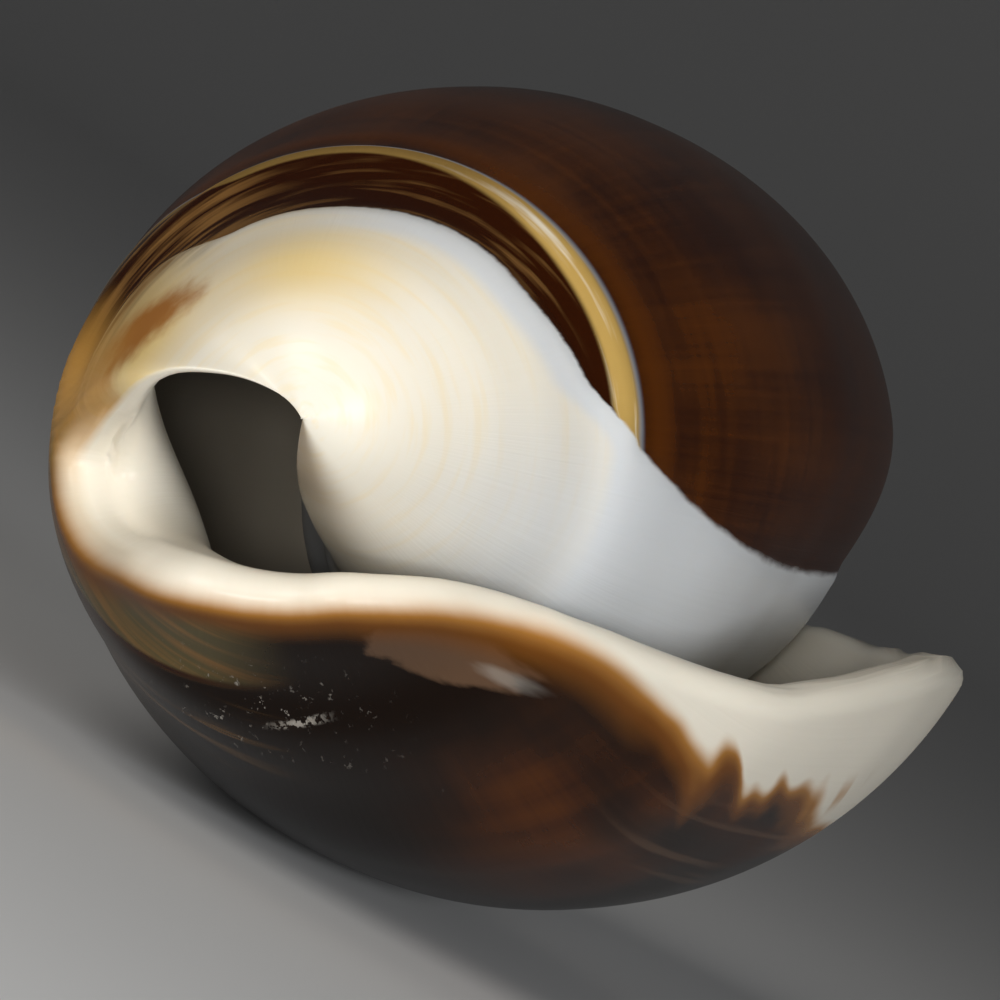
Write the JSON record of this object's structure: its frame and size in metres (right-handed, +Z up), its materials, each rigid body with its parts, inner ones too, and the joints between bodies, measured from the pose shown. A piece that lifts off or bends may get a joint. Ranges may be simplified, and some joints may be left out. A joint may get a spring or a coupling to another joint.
{
  "type": "olive shell",
  "caption": "Glossy olive sea-snail shell: a smooth coiled barrel with a low spire, a long slit aperture, a thick pale lip and a notched front end.",
  "frame": {"origin": "centre of the shell's footprint, on the floor it rests on", "axes": "+Z up, +Y from the front (siphonal) end towards the apex, +X towards the lip"},
  "size_m": [0.0234, 0.0454, 0.0213],
  "materials": {
    "shell": "natural glossy shell: dark chocolate brown outside, cream white callus, lip and columella, tan ridge"
  },
  "bodies": {
    "root": {"shell": "shell"}
  },
  "joints": []
}
